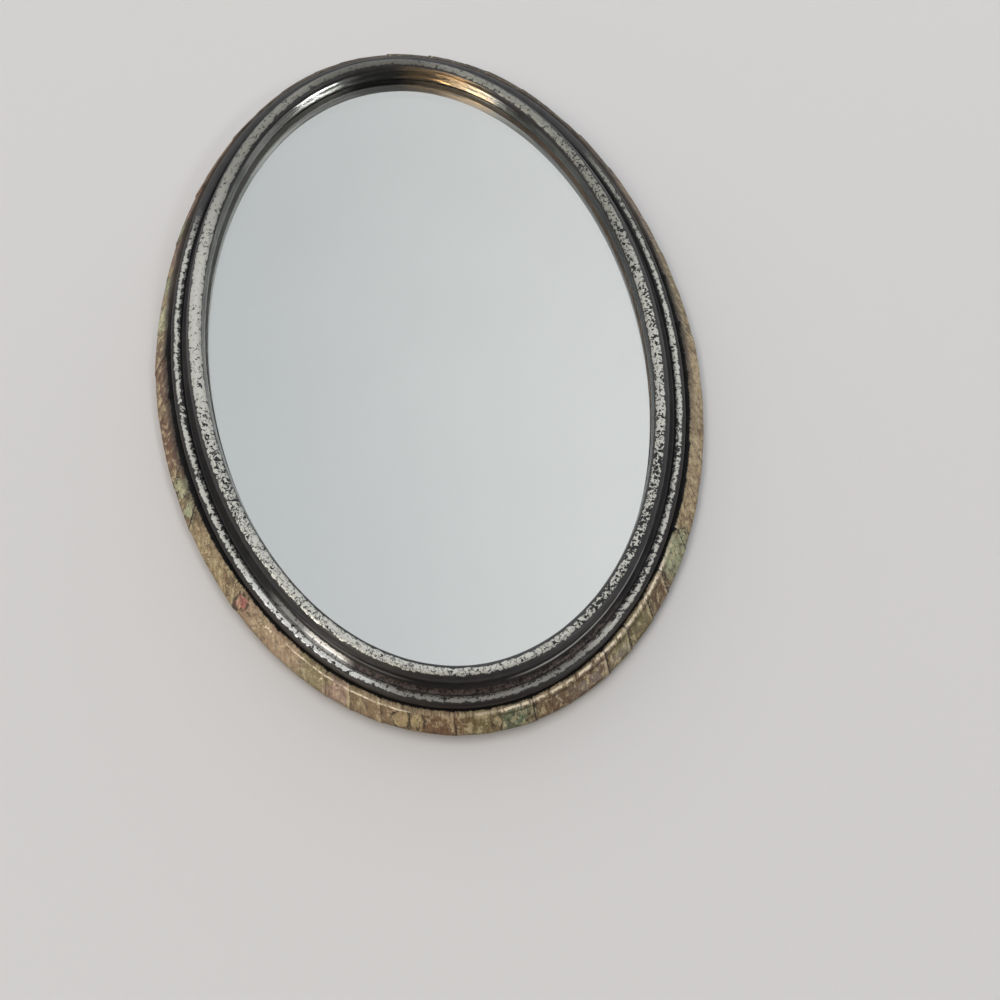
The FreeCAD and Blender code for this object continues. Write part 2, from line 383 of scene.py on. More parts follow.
paper_wall.thickness = PAPER_THICK / 1000
paper_wall.offset = -1.0
apply_all(cover)
bpy.ops.object.shade_smooth_by_angle(angle=math.radians(50))


ROUND_HALF_WIDTH = 37.5
ROUND_HALF_LENGTH = 57.5


def bearing_of(finish, where):
    """The direction of a point from the middle of the oval, as if the oval were a circle."""
    flat = finish.stretch(where, 1 / ROUND_HALF_WIDTH, 1 / ROUND_HALF_LENGTH, 0.0)
    return finish.add("VectorMath", {"operation": "NORMALIZE"}, {0: flat})


def near_angle(bearing, angle, half, soft):
    """1 within half degrees of an angle round the oval, fading to 0 over the soft degrees beyond."""
    turn = math.radians(angle)
    pointer = {0: bearing, 1: (math.sin(turn), math.cos(turn), 0.0)}
    facing = bearing.finish.add("VectorMath", {"operation": "DOT_PRODUCT"}, pointer, "Value")
    return facing.rise(math.cos(math.radians(half + soft)), math.cos(math.radians(half)))


paper = Finish(bpy.data.materials.new("varnished_paper"))
paper_place = paper.place()
rim_bearing = bearing_of(paper, paper_place)
across = paper.add("Attribute", {"attribute_name": "across"}, {}, "Fac")
past_edge = paper.add("Attribute", {"attribute_name": "past_edge"}, {}, "Fac")
edge_lift = paper.add("Attribute", {"attribute_name": "edge_lift"}, {}, "Fac")
paper_x = paper.add("SeparateXYZ", {}, {0: paper_place}, "X")
paper_y = paper.add("SeparateXYZ", {}, {0: paper_place}, "Y")
paper_z = paper.add("SeparateXYZ", {}, {0: paper_place}, "Z")
MID_RIM_WIDTH = 41.4
MID_RIM_LENGTH = 61.4
MM_PER_RADIAN = 51.0
turned = {0: paper_x * (-1 / MID_RIM_WIDTH), 1: paper_y * (-1 / MID_RIM_LENGTH)}
round_rim = paper.add("Math", {"operation": "ARCTAN2"}, turned) * MM_PER_RADIAN
SLANT = 0.75
slanted = round_rim - paper_x * across * (SLANT / MID_RIM_WIDTH)
laid = paper.add("CombineXYZ", {}, {0: slanted, 1: across * 0.2, 2: paper_z * 0.1})
brushed = paper.noise(laid, 1.6, 3.0, 0.6)
hair = paper.noise(laid, 5.0, 2.0, 0.6)
streak = paper.noise(laid, 2.6, 3.0, 0.65)
blotch = paper.noise(paper_place, 0.22, 3.0, 0.55)
speck = paper.noise(paper_place, 4.0, 3.0, 0.65)
ragged = paper.noise(paper_place, 0.55, 3.0, 0.65, "Color")
ragged = paper.add("VectorMath", {"operation": "SUBTRACT"}, {0: ragged, 1: (0.5, 0.5, 0.5)})
wandering = {0: ragged, 1: (1.8, 1.8, 1.8), 2: paper_place}
wavy = paper.add("VectorMath", {"operation": "MULTIPLY_ADD"}, wandering)
wandering = {0: ragged, 1: (5.0, 5.0, 4.0), 2: paper_place}
ragged = paper.add("VectorMath", {"operation": "MULTIPLY_ADD"}, wandering)

TAN = colour(160, 139, 104)
SAND = colour(176, 153, 118)
KHAKI = colour(130, 114, 80)
FAWN = colour(162, 129, 108)
RUSSET = colour(120, 86, 63)
BROWN = colour(102, 78, 56)
RED_BROWN = colour(98, 62, 49)
FAR_SHADE_UMBER = colour(30, 27, 23)
DARK_RED = colour(42, 23, 19)
OLIVE = colour(118, 109, 69)
PALE_GREEN = colour(160, 168, 134)
LEAF = colour(98, 117, 83)
TEAL = colour(80, 112, 90)
ROSE = colour(162, 62, 76)
MAUVE = colour(160, 124, 121)
STRAW = colour(182, 160, 112)
CREAM = colour(214, 196, 156)
INK = colour(32, 24, 19)
CHESTNUT = colour(92, 56, 42)
BISTRE = colour(84, 62, 46)
SEPIA = colour(70, 51, 37)
PEAT = colour(62, 46, 34)
SHADE = colour(44, 31, 25)
FRAYED_PAPER = colour(196, 176, 146)
BARE_PAPER_AND_HIGHLIGHT = colour(246, 230, 204)
BLACK_GAP_SHADE = colour(9, 7, 6)
GREY_GAP_SHADE = colour(66, 58, 50)
FOOT_BROWN = colour(70, 52, 40)

print_colour = paper.mix(brushed.rise(0.34, 0.62), BROWN, KHAKI)
print_colour = paper.mix(blotch.rise(0.4, 0.62) * 0.7, print_colour, TAN)
ink = hair.rise(0.58, 0.72) * 0.3
# Angle round the oval in degrees, reach in mm, and colour.
washes = [
    (58, 6.0, DARK_RED), (72, 8.0, BROWN), (88, 9.0, KHAKI), (104, 8.0, SAND), (116, 6.0, SAND),
    (125, 4.0, SAND), (133, 4.0, PALE_GREEN), (140, 3.2, BROWN), (149, 5.6, OLIVE), (162, 7.0, BROWN),
    (175.5, 2.9, TEAL), (183, 2.8, OLIVE), (190, 3.8, RUSSET), (194.3, 1.2, STRAW), (197, 1.4, STRAW),
    (202, 4.0, RUSSET), (209.5, 2.4, MAUVE), (215, 2.8, OLIVE), (222, 4.6, FAWN), (229, 2.5, FAWN),
    (231.3, 1.35, ROSE), (239, 6.0, TAN), (248.5, 1.6, PALE_GREEN), (252.3, 1.9, PALE_GREEN),
    (260, 6.0, RED_BROWN), (270, 6.0, RED_BROWN), (281, 2.8, PALE_GREEN), (287, 2.4, LEAF),
    (294, 4.0, RED_BROWN), (298, 2.4, LEAF), (306, 7.0, RED_BROWN), (318, 7.0, BROWN),
    # The umber washes round the far end are painted shade.
    (332, 11.0, FAR_SHADE_UMBER), (347, 11.0, FAR_SHADE_UMBER), (2, 11.0, FAR_SHADE_UMBER), (17, 11.0, FAR_SHADE_UMBER), (32, 11.0, FAR_SHADE_UMBER),
    (45, 8.0, FAR_SHADE_UMBER),
]
outlined = (PALE_GREEN, LEAF, TEAL, ROSE, STRAW)
SMALL = 1.5
BEVEL_LEVEL = 1.7
for angle, reach, wash in washes:
    turn = math.radians(angle)
    centre = (MID_RIM_WIDTH * math.sin(turn), MID_RIM_LENGTH * math.cos(turn), BEVEL_LEVEL)
    edge = wavy if reach < SMALL else ragged
    away = paper.add("VectorMath", {"operation": "DISTANCE"}, {0: edge, 1: centre}, "Value")
    print_colour = paper.mix(away.rise(reach * 1.1, reach * 0.55) * 0.8, print_colour, wash)
    if wash in outlined:
        ink = ink.most(abs(away - reach * 0.95).rise(0.34, 0.08) * brushed.rise(0.4, 0.56) * 0.85)
veins = abs(paper.noise(paper_place, 0.6, 3.0) - 0.5).rise(0.02, 0.004)
ink = ink.most(veins * blotch.rise(0.42, 0.56) * 0.6)
# Dark lines at the pleats' edges: dirt in the seams and painted shade of the steps.
seam_dirt_and_shade = past_edge.rise(0.5, 0.25) * edge_lift.rise(0.3, 0.8) * across.rise(2.9, 2.2)
seam_dirt_and_shade = seam_dirt_and_shade * (1 - near_angle(rim_bearing, 212, 22, 6) * 0.6)
ink = ink.most(seam_dirt_and_shade * 0.85)
loosely = paper.add("CombineXYZ", {}, {0: slanted, 1: across * 0.7, 2: paper_z * 0.4})
stroke = paper.noise(loosely, 1.1, 3.0, 0.6, warp=0.6)
# Painted shade: fewer pale marks round the far end of the rim.
cream_off_far_shade = 1 - near_angle(rim_bearing, 0, 64, 20) * 0.7
patch = paper.noise(paper_place, 1.1, 3.0, 0.6)
print_colour = paper.mix(stroke.rise(0.55, 0.64) * 0.5, print_colour, CHESTNUT)
print_colour = paper.mix(stroke.rise(0.45, 0.36) * cream_off_far_shade * 0.5, print_colour, CREAM)
print_colour = paper.mix(patch.rise(0.55, 0.64) * 0.55, print_colour, BISTRE)
print_colour = paper.mix(patch.rise(0.45, 0.36) * cream_off_far_shade * 0.42, print_colour, CREAM)
print_colour = paper.mix(streak.rise(0.5, 0.7) * 0.3, print_colour, SEPIA)
print_colour = paper.mix(streak.rise(0.45, 0.3) * cream_off_far_shade * 0.2, print_colour, CREAM)
print_colour = paper.mix(speck.rise(0.54, 0.7) * 0.4, print_colour, PEAT)
print_colour = paper.mix(speck.rise(0.44, 0.3) * 0.3, print_colour, CREAM)
# Painted sheen: the rim is washed paler at the near left.
print_colour = paper.mix(near_angle(rim_bearing, 214, 12, 10) * 0.16, print_colour, CREAM)
# Pale raised edges of the pleats: the cut paper edge with a painted highlight on it.
pale_edge_and_highlight = abs(past_edge - 0.7).rise(0.32, 0.1) * edge_lift.rise(0.5, 0.9) * brushed.rise(0.4, 0.6)
print_colour = paper.mix(pale_edge_and_highlight * 0.5, print_colour, CREAM)
print_colour = paper.mix(ink, print_colour, INK)

in_front = near_angle(rim_bearing, 184, 50, 10)
beside = 1 - near_angle(rim_bearing, 178, 58, 24)
shaded = (across + (streak - 0.5) * 1.2 + (speck - 0.5) * 1.5).rise(1.3, 0.1) * beside * 0.85
print_colour = paper.mix(shaded, print_colour, SHADE)
frayed = across.rise(0.25, -0.05) * near_angle(rim_bearing, 168, 30, 14) * streak.rise(0.6, 0.4)
print_colour = paper.mix(frayed * 0.5, print_colour, FRAYED_PAPER)
# Along the crest: a pale rubbed line at the near right, and at the near left a painted highlight line and
# painted glints.
right_line = abs(across + 0.2 + (streak - 0.5) * 0.5).rise(0.22, 0.1) * near_angle(rim_bearing, 157, 20, 8)
painted_highlight_line = abs(across - 0.1 + (streak - 0.5) * 0.25).rise(0.14, 0.06) * near_angle(rim_bearing, 209, 9, 6)
rubbed_line_and_highlight = right_line.most(painted_highlight_line) * paper.noise(laid, 0.8, 3.0, 0.65).rise(0.36, 0.54)
painted_glints = paper.noise(paper_place, 1.2, 2.0, 0.6).rise(0.6, 0.65) * near_angle(rim_bearing, 219, 6, 4)
painted_glints = painted_glints * across.rise(-0.1, 0.2) * across.rise(1.4, 0.8)
print_colour = paper.mix(rubbed_line_and_highlight.most(painted_glints) * 0.95, print_colour, BARE_PAPER_AND_HIGHLIGHT)
# Painted shade: a dark line just below the crest at the near right.
painted_shade_under_crest = abs(across - 0.38).rise(0.22, 0.05) * near_angle(rim_bearing, 157, 18, 8) * 0.5
print_colour = paper.mix((seam_dirt_and_shade * 0.7).most(painted_shade_under_crest), print_colour, INK)
# Painted shade: the ledge under the moulding is painted black where the gap lies in shade, and greyer
# round the far end.
gap_shade_edge = past_edge.rise(1.6, 0.0) * edge_lift * 0.22 - in_front * 0.32 - 0.14
gap_shade_edge = gap_shade_edge - near_angle(rim_bearing, 172, 22, 18) * 0.22
gap_shade_edge = gap_shade_edge - near_angle(rim_bearing, 215, 6, 8) * 0.14
gap_shade_wave = (blotch - 0.5) * 0.4 + (hair - 0.5) * 0.3 + (speck - 0.5) * 0.6
painted_gap_shade = (across - gap_shade_edge + gap_shade_wave).rise(0.08, -0.08)
far_gap_shade = near_angle(rim_bearing, 0, 72, 12)
print_colour = paper.mix(painted_gap_shade, print_colour, paper.mix(far_gap_shade, BLACK_GAP_SHADE, GREY_GAP_SHADE))
# The rim is darker towards its foot.
darker_foot = across.rise(2.0, 3.0) * 0.5
print_colour = paper.mix(darker_foot, print_colour, FOOT_BROWN)

lining = paper.noise(paper_place, 1.3, 4.0, 0.65)
lining_colour = paper.mix(lining.rise(0.35, 0.65), colour(104, 79, 56), colour(138, 112, 82))
lining_colour = paper.mix(speck.rise(0.6, 0.68) * 0.6, lining_colour, colour(72, 52, 38))
on_back = across.rise(3.5, 4.2)
print_colour = paper.mix(on_back, print_colour, lining_colour)
dull_rim = near_angle(rim_bearing, 0, 50, 20) * (1 - on_back)

cover.data.materials.append(paper.output(paper.surface(
    Base_Color=print_colour,
    Roughness=brushed * 0.25 + painted_gap_shade * 0.3 + dull_rim * 0.25 + 0.42,
    Specular_IOR_Level=0.35,
    Coat_Weight=(1 - painted_gap_shade) * (1 - dull_rim) * 0.15,
    Coat_Roughness=0.16,
    Normal=paper.bump(brushed + hair * 0.5 + streak * 0.6 + speck * 0.4, 0.12),
)))
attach(cover, "root")
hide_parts("cover_sheet")


# Glue bead: a thin line of clear craft glue that holds the moulding down on the paper. It was run
# on by hand, so it is a little lumpy, and it has yellowed.
def dress(node_name, material):
    """Puts a finish on a piece that comes from the solid model as it is."""
    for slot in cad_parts[node_name].material_slots:
        slot.material = material


glue = Finish(bpy.data.materials.new("craft_glue"))
glue_place = glue.place()
lumps = glue.noise(glue_place, 0.8, 3.0)
glue_colour = glue.mix(lumps.rise(0.35, 0.65), colour(196, 172, 118), colour(222, 206, 164))
dress("moulding_glue", glue.output(glue.surface(
    Base_Color=glue_colour,
    Roughness=lumps * 0.25 + 0.18,
    Normal=glue.bump(lumps, 0.06),
)))


# Mounting tape: three strips of double-sided tissue tape across the board. The fibres of the tissue
# show through the dull adhesive.
tape = Finish(bpy.data.materials.new("tissue_tape"))
tape_place = tape.place()
tissue = tape.noise(tape.stretch(tape_place, 1.2, 6.0, 1.0), 1.0, 4.0, 0.7)
tape_colour = tape.mix(tissue.rise(0.4, 0.62), colour(222, 216, 196), colour(240, 236, 222))
dress("tape_strips", tape.output(tape.surface(
    Base_Color=tape_colour,
    Roughness=tissue * 0.3 + 0.4,
    Normal=tape.bump(tissue, 0.02),
)))


# Packing card: grey card cut a little smaller than the mirror, between the tape and the painted back
# of the glass. It is made of waste paper, so it is full of pale and dark flecks.
card = Finish(bpy.data.materials.new("grey_card"))
card_place = card.place()
pulp = card.noise(card_place, 2.2, 4.0, 0.65)
flecks = card.noise(card.stretch(card_place, 5.0, 2.0, 3.0), 1.0, 1.0)
card_colour = card.mix(pulp.rise(0.35, 0.65), colour(148, 140, 126), colour(172, 165, 150))
card_colour = card.mix(flecks.rise(0.66, 0.72), card_colour, colour(96, 88, 78))
card_colour = card.mix(flecks.rise(0.34, 0.28), card_colour, colour(206, 200, 186))
dress("packing_card", card.output(card.surface(
    Base_Color=card_colour,
    Roughness=pulp * 0.15 + 0.78,
    Normal=card.bump(pulp, 0.03),
)))


# Mirror: a cut oval of clear glass, silvered on its back, with a coat of grey paint that keeps the
# silver from tarnish. The moulding's lip holds its edge; a little dust lies on the front.
mirror_paint = Finish(bpy.data.materials.new("mirror_back_paint"))
paint_place = mirror_paint.place()
peel = mirror_paint.noise(paint_place, 1.4, 2.0)
paint_colour = mirror_paint.mix(peel.rise(0.3, 0.7), colour(150, 154, 156), colour(166, 169, 170))
dress("back_paint", mirror_paint.output(mirror_paint.surface(
    Base_Color=paint_colour,
    Roughness=peel * 0.2 + 0.3,
    Normal=mirror_paint.bump(peel, 0.02),
)))

silvering = Finish(bpy.data.materials.new("silvering"))
bloom = silvering.noise(silvering.place(), 0.06, 3.0)
silver_colour = silvering.mix(bloom.rise(0.3, 0.7), (0.92, 0.925, 0.925, 1), (0.94, 0.945, 0.945, 1))
dress("silver_film", silvering.output(silvering.surface(
    Base_Color=silver_colour,
    Metallic=1.0,
    Roughness=bloom * 0.02,
)))

PANE_AROUND = 480
pane_section = [(1.2, 2.41), (1.34, 2.47), (1.4, 2.61), (1.4, 3.69), (1.34, 3.83), (1.2, 3.893)]
pane = draw_rings("mirror_pane", pane_section, PANE_AROUND)
close_ends(pane, pane_section)

glass = Finish(bpy.data.materials.new("mirror_glass"))
glass_place = glass.place()
clear_glass = glass.surface(
    Base_Color=(0.985, 0.99, 0.988, 1),
    Roughness=0.0,
    IOR=1.52,
    Transmission_Weight=1.0,
)
LINT_PER_MM = 0.16
lint_cell = glass.add("TexVoronoi", {}, {"Vector": glass_place, "Scale": LINT_PER_MM}, "Color")
lint_away = glass.add("TexVoronoi", {}, {"Vector": glass_place, "Scale": LINT_PER_MM}, "Distance")
lint_pick = glass.add("SeparateColor", {}, {0: lint_cell}, "Red")
lint = lint_away.rise(0.034, 0.012) * lint_pick.rise(0.84, 0.88)
dust = glass.surface(Base_Color=colour(170, 170, 168), Roughness=0.9)
haze = glass.noise(glass_place, 0.12, 3.0).rise(0.4, 0.75) * 0.004
pane.data.materials.append(glass.output(
    glass.add("MixShader", {}, {0: lint * 0.3 + haze, 1: clear_glass, 2: dust}),
))
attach(pane, "root")
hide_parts("mirror_glass")


# Moulding: one cast ring of white metal with a fat bead inside, a cove and a small bead outside.
# It was blackened and then rubbed back, so the tops of the beads are silver, pitted and flaky,
# while the cove, the inner wall and the undercut keep the dark patina. Painted highlights and
# glints lie on the inner wall at the far end, on the cove and on the outer bead at the near left,
# and painted shade dulls the silver round the far end.
LIP = 0.35
LIP_FOOT = 3.9
BEAD_MIDDLE = (1.75, 5.16)
BEAD_RADIUS = 1.25
COVE_MIDDLE = (5.355, 5.16)
COVE_RADIUS = 2.355
OUTER_MIDDLE = (4.98, 2.93)
OUTER_RADIUS = 0.9
OUTER_FLATNESS = 0.65


def arc(middle, radius, start, end, steps, flatness=1.0):
    """Points on an arc of the section, in degrees; a flatness under 1 gives it a flatter top."""
    points = []
    for step in range(steps + 1):
        turn = math.radians(start + (end - start) * step / steps)
        rise = math.copysign(abs(math.sin(turn)) ** flatness, math.sin(turn))
        points.append((middle[0] + radius * math.cos(turn), middle[1] + radius * rise))
    return points


RING_AROUND = 720
ring_section = [(LIP, LIP_FOOT), (LIP, 4.05), (LIP, 4.25), (0.38, 4.47), (0.42, 4.7), (0.46, 4.94)]
ring_section += arc(BEAD_MIDDLE, BEAD_RADIUS, 180, 0, 28)
ring_section += arc(COVE_MIDDLE, COVE_RADIUS, 180, 231, 12)[1:]
ring_section += [(3.93, 3.297), (3.99, 3.278), (4.05, 3.276), (4.1, 3.29), (4.15, 3.345), (4.2, 3.45)]
ring_section += arc(OUTER_MIDDLE, OUTER_RADIUS, 145, 0, 18, OUTER_FLATNESS)
ring_section += [(5.63, 2.85), (5.32, 2.68), (5.0, 2.5), (3.4, 2.5), (1.7, 2.5), (1.7, 3.2)]
ring_section += [(1.7, LIP_FOOT), (LIP + 0.02, LIP_FOOT)]
ring = draw_rings("moulding_casting", ring_section, RING_AROUND)
bpy.ops.object.mode_set(mode="OBJECT")
ring_angle, ring_across = measure_rings(ring, ring_section, RING_AROUND, 0)
closing_loop = np.arange(len(ring_across)) >= RING_AROUND * (len(ring_section) - 1)


def at_lip_foot(place):
    """True for the first and the last ring, which lie side by side at the foot of the lip."""
    half_width = SIGHT_HALF_WIDTH + LIP + 0.15
    half_length = SIGHT_HALF_LENGTH + LIP + 0.15
    inside = np.hypot(place[:, 0] / half_width, place[:, 1] / half_length) < 1
    return inside & (abs(place[:, 2] - LIP_FOOT) < 0.05)


choose(ring, at_lip_foot)
bpy.ops.mesh.bridge_edge_loops()
face_outward()
note(ring, "across", ring_across)

BENT_ANGLE = 133
BENT_REACH = 24
BENT_TO = 7.0
BENT_WAY_X = 0.31
BENT_WAY_Y = -0.28
pull = np.exp(-((ring_angle - BENT_ANGLE) / BENT_REACH) ** 2)
pull *= np.where(closing_loop, 1.0, np.clip((BENT_TO - ring_across) / 2.5, 0, 1))
pulled = weigh(ring, "pulled", pull)
push(ring, "bending_X", pulled, "X", BENT_WAY_X)
push(ring, "bending_Y", pulled, "Y", BENT_WAY_Y)
LUMP_SIZE = 2.2
LUMP_DEPTH = 0.05
cast_skin = bpy.data.textures.new("cast_skin", "CLOUDS")
cast_skin.noise_scale = LUMP_SIZE / 1000
casting = ring.modifiers.new("casting", "DISPLACE")
casting.texture = cast_skin
casting.mid_level = 1.0
casting.strength = LUMP_DEPTH / 1000
apply_all(ring)
bpy.ops.object.shade_smooth_by_angle(angle=math.radians(24))

metal = Finish(bpy.data.materials.new("rubbed_white_metal"))
metal_place = metal.place()
section_way = metal.add("Attribute", {"attribute_name": "across"}, {}, "Fac")
ring_bearing = bearing_of(metal, metal_place)
sideways = metal.add("SeparateXYZ", {}, {0: ring_bearing}, "X")
lengthways = metal.add("SeparateXYZ", {}, {0: ring_bearing}, "Y")
grain = metal.noise(metal_place, 2.0, 4.0, 0.65)
pits = metal.noise(metal_place, 2.0, 3.0, 0.55, warp=0.8)
drift = metal.noise(metal_place, 0.12, 2.0)
sweep = metal.noise(metal_place, 0.5, 2.0)
cracks = abs(metal.noise(metal_place, 1.2, 3.0, 0.6) - 0.5).rise(0.024, 0.008)
round_ring = metal.add("CombineXYZ", {}, {0: section_way * 4.0, 1: sideways * 6.0, 2: lengthways * 6.0})
drawn = metal.noise(round_ring, 1.0, 2.0, 0.5)

BEAD_CREST = 3.24
strip_inside = BEAD_CREST - 0.6 - sideways * sideways * 0.75 + sideways * 0.1
strip_outside = BEAD_CREST + 0.48 - sideways * 0.15
off_strip = (strip_inside - section_way).most(section_way - strip_outside)
ragged_strip = off_strip + (grain - 0.5) * 0.75 + (sweep - 0.5) * 0.4
strip = ragged_strip.rise(0.05, -0.05)
eaten = near_angle(ring_bearing, 108, 50, 14) * 0.055
eaten += near_angle(ring_bearing, 137, 11, 12) * 0.05
eaten += near_angle(ring_bearing, 250, 7, 7) * 0.075
pit = (pits - (0.595 + (drift - 0.5) * 0.1 - eaten)).rise(0.0, 0.02)
cracked = cracks * near_angle(ring_bearing, 200, 42, 14) * 0.8
silver = strip * (1 - pit) * (1 - cracked)

OUTER_CREST = 8.43
OUTER_HALF = 0.43
# Painted shade: round the far end the silver is duller, dullest at the very end.
far_painted_shade = near_angle(ring_bearing, 10, 52, 34)
far_end_painted_shade = near_angle(ring_bearing, 359, 3, 22)
# Burnish and painted highlight: where the outer bead is bright at the near left, its silver is wider,
# smoother and painted near white.
burnish_and_highlight = near_angle(ring_bearing, 217, 9, 12)
near_side = near_angle(ring_bearing, 195, 50, 20)
dulled = near_angle(ring_bearing, 179, 18, 10)
inner_half = section_way.rise(8.6, 8.2)
off_crest = abs(section_way - OUTER_CREST + burnish_and_highlight * 0.13) - OUTER_HALF
ragged_crest = off_crest + (grain - 0.5) * 0.95 + (sweep - 0.5) * 0.25
ragged_crest = ragged_crest + dulled * 0.1 - burnish_and_highlight * 0.1 - near_side * 0.12
ragged_crest = ragged_crest + inner_half * near_angle(ring_bearing, 72, 16, 10) * 0.3
eroded = inner_half * (1 - burnish_and_highlight) * 0.09 + near_angle(ring_bearing, 130, 14, 8) * 0.05
eroded += inner_half * near_angle(ring_bearing, 262, 20, 12) * 0.06
outer_pit = (pits - (0.585 - eroded)).rise(0.0, 0.03)
# Painted shade: the outer bead keeps no silver round the far end.
far_shade_no_silver = near_angle(ring_bearing, 359, 56, 10)
outer_silver = ragged_crest.rise(0.06, -0.06) * (1 - outer_pit) * (1 - far_shade_no_silver)
lower_cove = (section_way + (grain - 0.5) * 0.7).rise(6.6, 6.85) * section_way.rise(7.75, 7.55)
polished = near_angle(ring_bearing, 214.5, 1.5, 5.5).most(near_angle(ring_bearing, 219, 4, 6) * 0.35)
polished = lower_cove * polished * (1 - (pits - 0.6).rise(0.0, 0.04))
silver = silver.most(outer_silver * (1 - dulled * 0.62)).most(polished)
mottled = section_way.rise(6.5, 6.9) * section_way.rise(8.3, 7.8) * near_angle(ring_bearing, 180, 26, 10)

inner_wall = section_way.rise(1.7, 1.4)
# A warm brassy tint on the inner wall at the far right: partly the metal's tone, partly a painted warm
# glint.
warm_tint_and_glint = near_angle(ring_bearing, 19, 6, 10)
painted_white_glint = near_angle(ring_bearing, 338, 9, 9)
inner_wall = inner_wall.most(section_way.rise(2.4, 2.0) * warm_tint_and_glint)
patina = metal.mix(sweep.rise(0.35, 0.65), colour(38, 36, 37), colour(50, 47, 47))
patina = metal.mix(near_angle(ring_bearing, 225, 28, 20) * 0.6, patina, colour(17, 16, 17))
# Painted highlight: a pale line along the cove at the near right and, fainter, at the near left.
COVE_HIGHLIGHT_WAY = 6.0
cove_highlight_reach = near_angle(ring_bearing, 153, 10, 14).most(near_angle(ring_bearing, 209, 6, 9) * 0.22)
painted_cove_highlight = abs(section_way - COVE_HIGHLIGHT_WAY).rise(0.3, 0.1) * cove_highlight_reach
patina = metal.mix(painted_cove_highlight * 0.9, patina, colour(214, 212, 210))
wall_colour = metal.mix(drawn.rise(0.35, 0.65), colour(82, 83, 80), colour(126, 127, 122))
wall_colour = metal.mix(near_angle(ring_bearing, 112, 38, 18) * 0.75, wall_colour, colour(40, 39, 39))
# Painted highlight: the inner wall at the far left is painted pale and made smoother where the white
# glints fall.
painted_white_gleam = painted_white_glint * section_way.rise(0.6, 0.85)
wall_colour = metal.mix(near_angle(ring_bearing, 334, 12, 10) * 0.8, wall_colour, colour(192, 192, 187))
wall_colour = metal.mix(painted_white_gleam * drawn.rise(0.4, 0.6), wall_colour, colour(226, 228, 226))
warm_tint_and_glint = warm_tint_and_glint * (1 - section_way.rise(0.4, 0.8) * 0.45)
wall_colour = metal.mix(warm_tint_and_glint * drawn.rise(0.32, 0.58), wall_colour, colour(206, 170, 122))
patina = metal.mix(inner_wall, patina, wall_colour)
patina = metal.mix(section_way.rise(8.9, 9.25), patina, colour(30, 23, 22))
stained = metal.mix((pits - 0.42).rise(0.0, 0.16), colour(30, 24, 25), colour(92, 80, 76))
patina = metal.mix(mottled, patina, stained)
underside = section_way.rise(15.6, 15.9)
patina = metal.mix(underside * near_angle(ring_bearing, 62, 46, 12), patina, colour(228, 204, 178))
patina = metal.mix(underside * near_angle(ring_bearing, 305, 38, 12), patina, colour(224, 221, 212))
bare_silver = metal.mix(far_painted_shade, colour(218, 215, 206), colour(160, 158, 149))
bare_silver = metal.mix(burnish_and_highlight * section_way.rise(6.0, 6.5) * 0.85, bare_silver, colour(252, 250, 247))
bare_silver = metal.mix(far_end_painted_shade, bare_silver, colour(122, 120, 113))
metal_colour = metal.mix(silver, patina, bare_silver)
metal_colour = metal.mix((pit * strip).most(cracked * strip), metal_colour, colour(16, 15, 15))

metal_rough = 0.42 - inner_wall * (0.2 + painted_white_gleam * 0.1) - burnish_and_highlight * outer_silver * 0.14
metal_rough = metal_rough + (grain - 0.5) * 0.12
ring.data.materials.append(metal.output(metal.surface(
    Base_Color=metal_colour,
    Metallic=silver.most(inner_wall * 0.9),
    Roughness=metal_rough,
    Normal=metal.bump(silver + grain * 0.5 - cracked * strip * 0.5, 0.035),
)))
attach(ring, "root")
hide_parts("frame_moulding")


# Table, light and camera: a plain pale table top, the soft light of a room with a broad window beyond
# the mirror and lamps to the left and behind the viewer, and the camera where the photograph was
# taken from.
TABLE_SIZE = 6.0
TABLE_CLEARANCE = 0.00003
bpy.ops.object.select_all(action="DESELECT")
bpy.ops.mesh.primitive_plane_add(size=TABLE_SIZE, location=(0, 0, -TABLE_CLEARANCE))
table = bpy.context.object
table.name = "table_top"
laminate = Finish(bpy.data.materials.new("pale_laminate"))
table.data.materials.append(laminate.output(laminate.surface(
    Base_Color=(0.613, 0.588, 0.572, 1),
    Roughness=0.4,
    Specular_IOR_Level=0.35,
)))


def heading(azimuth, elevation):
    """A direction: azimuth 0 is away from the viewer and 90 to the right, in degrees."""
    turn, climb = math.radians(azimuth), math.radians(elevation)
    return (math.sin(turn) * math.cos(climb), math.cos(turn) * math.cos(climb), math.sin(climb))


scene = bpy.context.scene
scene.world = bpy.data.worlds.new("soft_room")
sky = Finish(scene.world)
looking = sky.add("TexCoord", {}, {}, "Generated")
sky_x = sky.add("SeparateXYZ", {}, {0: looking}, "X")
sky_y = sky.add("SeparateXYZ", {}, {0: looking}, "Y")
sky_z = sky.add("SeparateXYZ", {}, {0: looking}, "Z")


def glow(azimuth, elevation, core, edge):
    """1 in the middle of a soft round patch of sky, and 0 outside its edge, in degrees."""
    middle = {0: looking, 1: heading(azimuth, elevation)}
    facing = sky.add("VectorMath", {"operation": "DOT_PRODUCT"}, middle, "Value")
    return facing.rise(math.cos(math.radians(edge)), math.cos(math.radians(core)))


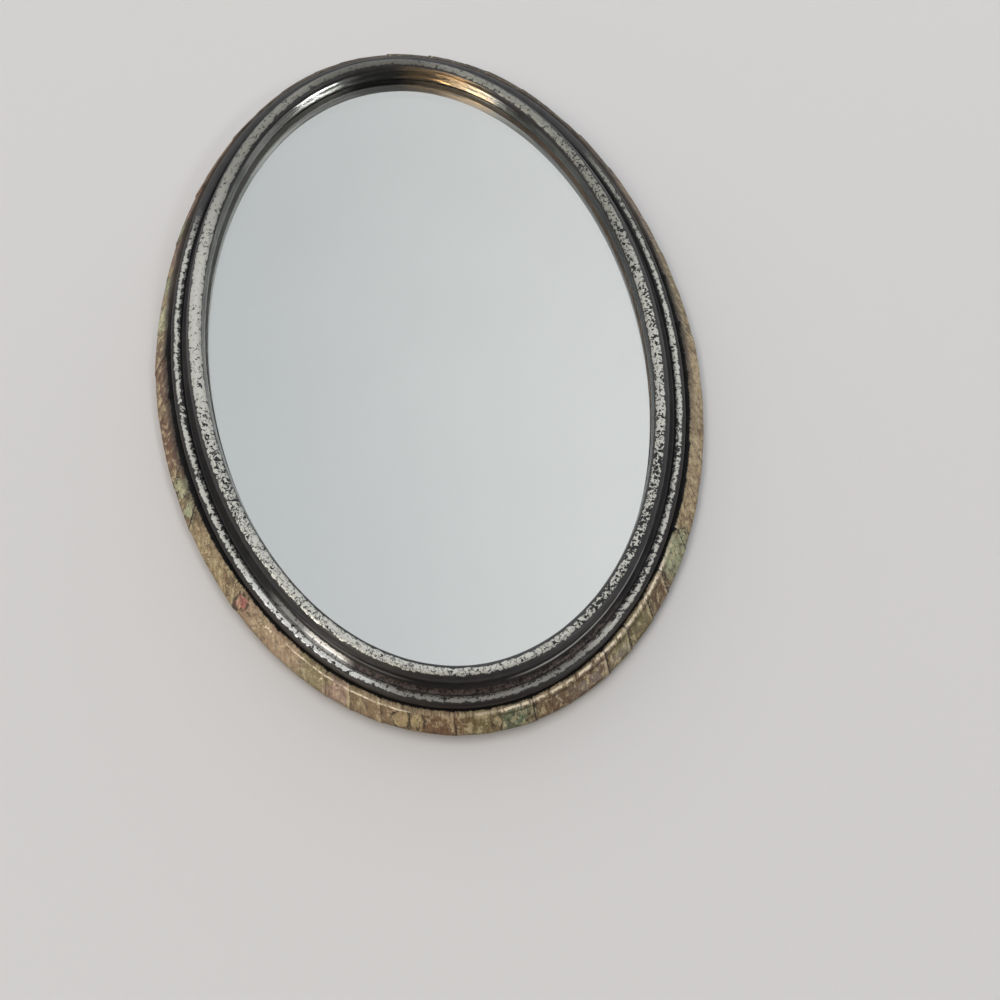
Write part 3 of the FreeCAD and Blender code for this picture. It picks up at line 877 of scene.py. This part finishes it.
seen = sky.add("LightPath", {}, {}, "Is Camera Ray")
through_glass = sky.add("LightPath", {}, {}, "Is Transmission Ray")
mirrored = sky.add("LightPath", {}, {}, "Is Glossy Ray").most(through_glass)
light = sky.mix(sky_x.rise(-0.22, 0.26), (0.545, 0.567, 0.572, 1), (0.715, 0.727, 0.722, 1))
light = sky.mix(sky_z.rise(0.9, 0.7) * 0.08, light, (0.1, 0.1, 0.1, 1))
light = sky.mix(sky_y.rise(0.3, -0.2), light, (0.2, 0.196, 0.192, 1))
far_window = sky_y.rise(0.15, 0.6) * sky_z.rise(0.85, 0.6) * (1 - mirrored.most(seen))
window_colour = sky.mix(sky_x.rise(-0.4, 0.4), (2.62, 2.6, 2.58, 1), (2.3, 2.58, 2.92, 1))
light = sky.mix(far_window, light, window_colour)
light = sky.mix(glow(180, 10, 22, 38) * (1 - seen), light, (0.06, 0.06, 0.065, 1))
# Azimuth, elevation, radius of the bright middle and of the edge in degrees, and colour.
lamps = [
    (-92, 58, 6, 17, (1.7, 1.67, 1.64, 1)),
    (-112, 36, 4, 11, (9.0, 8.8, 8.4, 1)),
    (-129, 38.5, 2, 5.5, (11.0, 9.6, 7.2, 1)),
    (-130, 13, 3, 9, (5.0, 3.6, 2.2, 1)),
]
for azimuth in (121, 127, 133, 139):
    lamps.append((azimuth, 34, 1.2, 3.5, (20.0, 20.0, 20.0, 1)))
for azimuth, elevation, middle, edge, lamp_colour in lamps:
    light = sky.mix(glow(azimuth, elevation, middle, edge), light, lamp_colour)
PALE_BACKGROUND = (0.68, 0.672, 0.668, 1)
near_horizon = sky_z.rise(0.12, 0.04)
light = sky.mix(seen.most(mirrored * near_horizon), light, PALE_BACKGROUND)
sky.output(sky.add("Background", {}, {"Color": light, "Strength": 1.0}))
scene.view_settings.view_transform = "Standard"

CAMERA_PLACE = (-0.0068557, -0.0972422, 0.1543158)
CAMERA_TURN = (24.54774, -0.48863, -10.21741)
CAMERA_LENS = 40.7093
SENSOR_WIDTH = 36.0
NEAREST_SEEN = 0.005
bpy.ops.object.camera_add(
    location=CAMERA_PLACE,
    rotation=[math.radians(turn) for turn in CAMERA_TURN],
)
camera = bpy.context.object
camera.data.sensor_width = SENSOR_WIDTH
camera.data.lens = CAMERA_LENS
camera.data.clip_start = NEAREST_SEEN
scene.camera = camera
